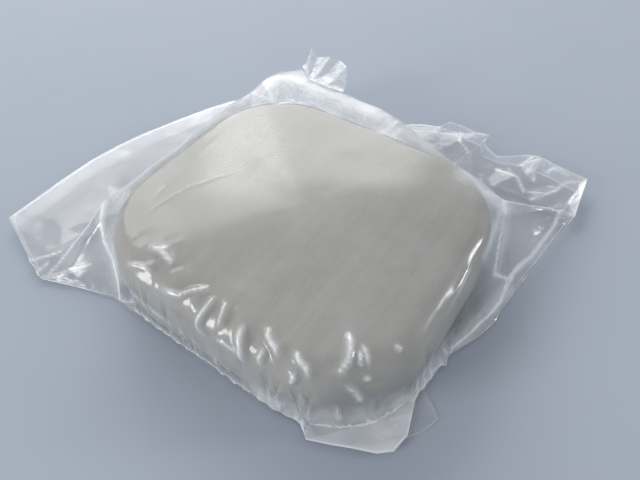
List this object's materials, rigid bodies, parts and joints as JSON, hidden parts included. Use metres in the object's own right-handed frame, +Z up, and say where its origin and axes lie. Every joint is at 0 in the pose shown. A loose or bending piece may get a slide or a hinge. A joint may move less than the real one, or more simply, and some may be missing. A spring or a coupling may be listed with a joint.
{
  "type": "clay bar in film pouch",
  "caption": "Rounded block of grey detailing clay wrapped in a loose clear film pouch, with folded ears, a front flap and a raised back tab.",
  "frame": {"origin": "on the resting plane, under the centre of the clay bar, at the pouch's underside", "axes": "+X along the bar's long side towards its right end, +Y along its short side towards the back, +Z up; the widest film ear lies off the -X side"},
  "size_m": [0.1433, 0.1219, 0.0232],
  "materials": {
    "clay": "matt, slightly waxy grey modelling clay with fine grit and drag lines",
    "film": "clear, slightly hazy soft polythene film with bright creases and cut edges"
  },
  "bodies": {
    "wrapped_bar": {"clay_bar": "clay", "pouch_cover": "film", "pouch_floor": "film", "back_pocket": "film"},
    "left_ear_floor": {"left_ear_floor_ply": "film"},
    "left_ear_top": {"left_ear_top_ply": "film"},
    "right_ear_floor": {"right_ear_floor_ply": "film"},
    "right_ear_top": {"right_ear_top_ply": "film"},
    "front_flap_floor": {"front_flap_floor_ply": "film"},
    "front_flap_top": {"front_flap_top_ply": "film"},
    "back_tab": {"back_tab": "film"}
  },
  "joints": [
    {"name": "left_ear_lift", "type": "hinge", "parent": "wrapped_bar", "child": "left_ear_top", "pos_m": [-0.0489, 0, 0.00075], "axis": [0, 1, 0], "range_deg": [0, 80]},
    {"name": "left_ear_floor_lift", "type": "hinge", "parent": "wrapped_bar", "child": "left_ear_floor", "pos_m": [-0.0489, 0, 0.00015], "axis": [0, 1, 0], "range_deg": [0, 60]},
    {"name": "right_ear_lift", "type": "hinge", "parent": "wrapped_bar", "child": "right_ear_top", "pos_m": [0, 0.0534, 0.00075], "axis": [1, 0, 0], "range_deg": [0, 80]},
    {"name": "right_ear_floor_lift", "type": "hinge", "parent": "wrapped_bar", "child": "right_ear_floor", "pos_m": [0, 0.0534, 0.00015], "axis": [1, 0, 0], "range_deg": [0, 60]},
    {"name": "front_flap_lift", "type": "hinge", "parent": "wrapped_bar", "child": "front_flap_top", "pos_m": [0.03775, -0.03399, 0.00075], "axis": [-0.6691, -0.7431, 0], "range_deg": [0, 80]},
    {"name": "front_flap_floor_lift", "type": "hinge", "parent": "wrapped_bar", "child": "front_flap_floor", "pos_m": [0.03775, -0.03399, 0.00015], "axis": [-0.6691, -0.7431, 0], "range_deg": [0, 60]},
    {"name": "back_tab_fold", "type": "hinge", "parent": "wrapped_bar", "child": "back_tab", "pos_m": [-0.032, 0.0552, 0.01715], "axis": [0.9659, -0.2588, 0], "range_deg": [-75, 60], "stiffness_Nm_per_rad": 0.0003}
  ],
  "couplings": [
    {"joint": "left_ear_floor_lift", "follows": "left_ear_lift", "ratio": 0.7},
    {"joint": "right_ear_floor_lift", "follows": "right_ear_lift", "ratio": 0.7},
    {"joint": "front_flap_floor_lift", "follows": "front_flap_lift", "ratio": 0.7}
  ]
}
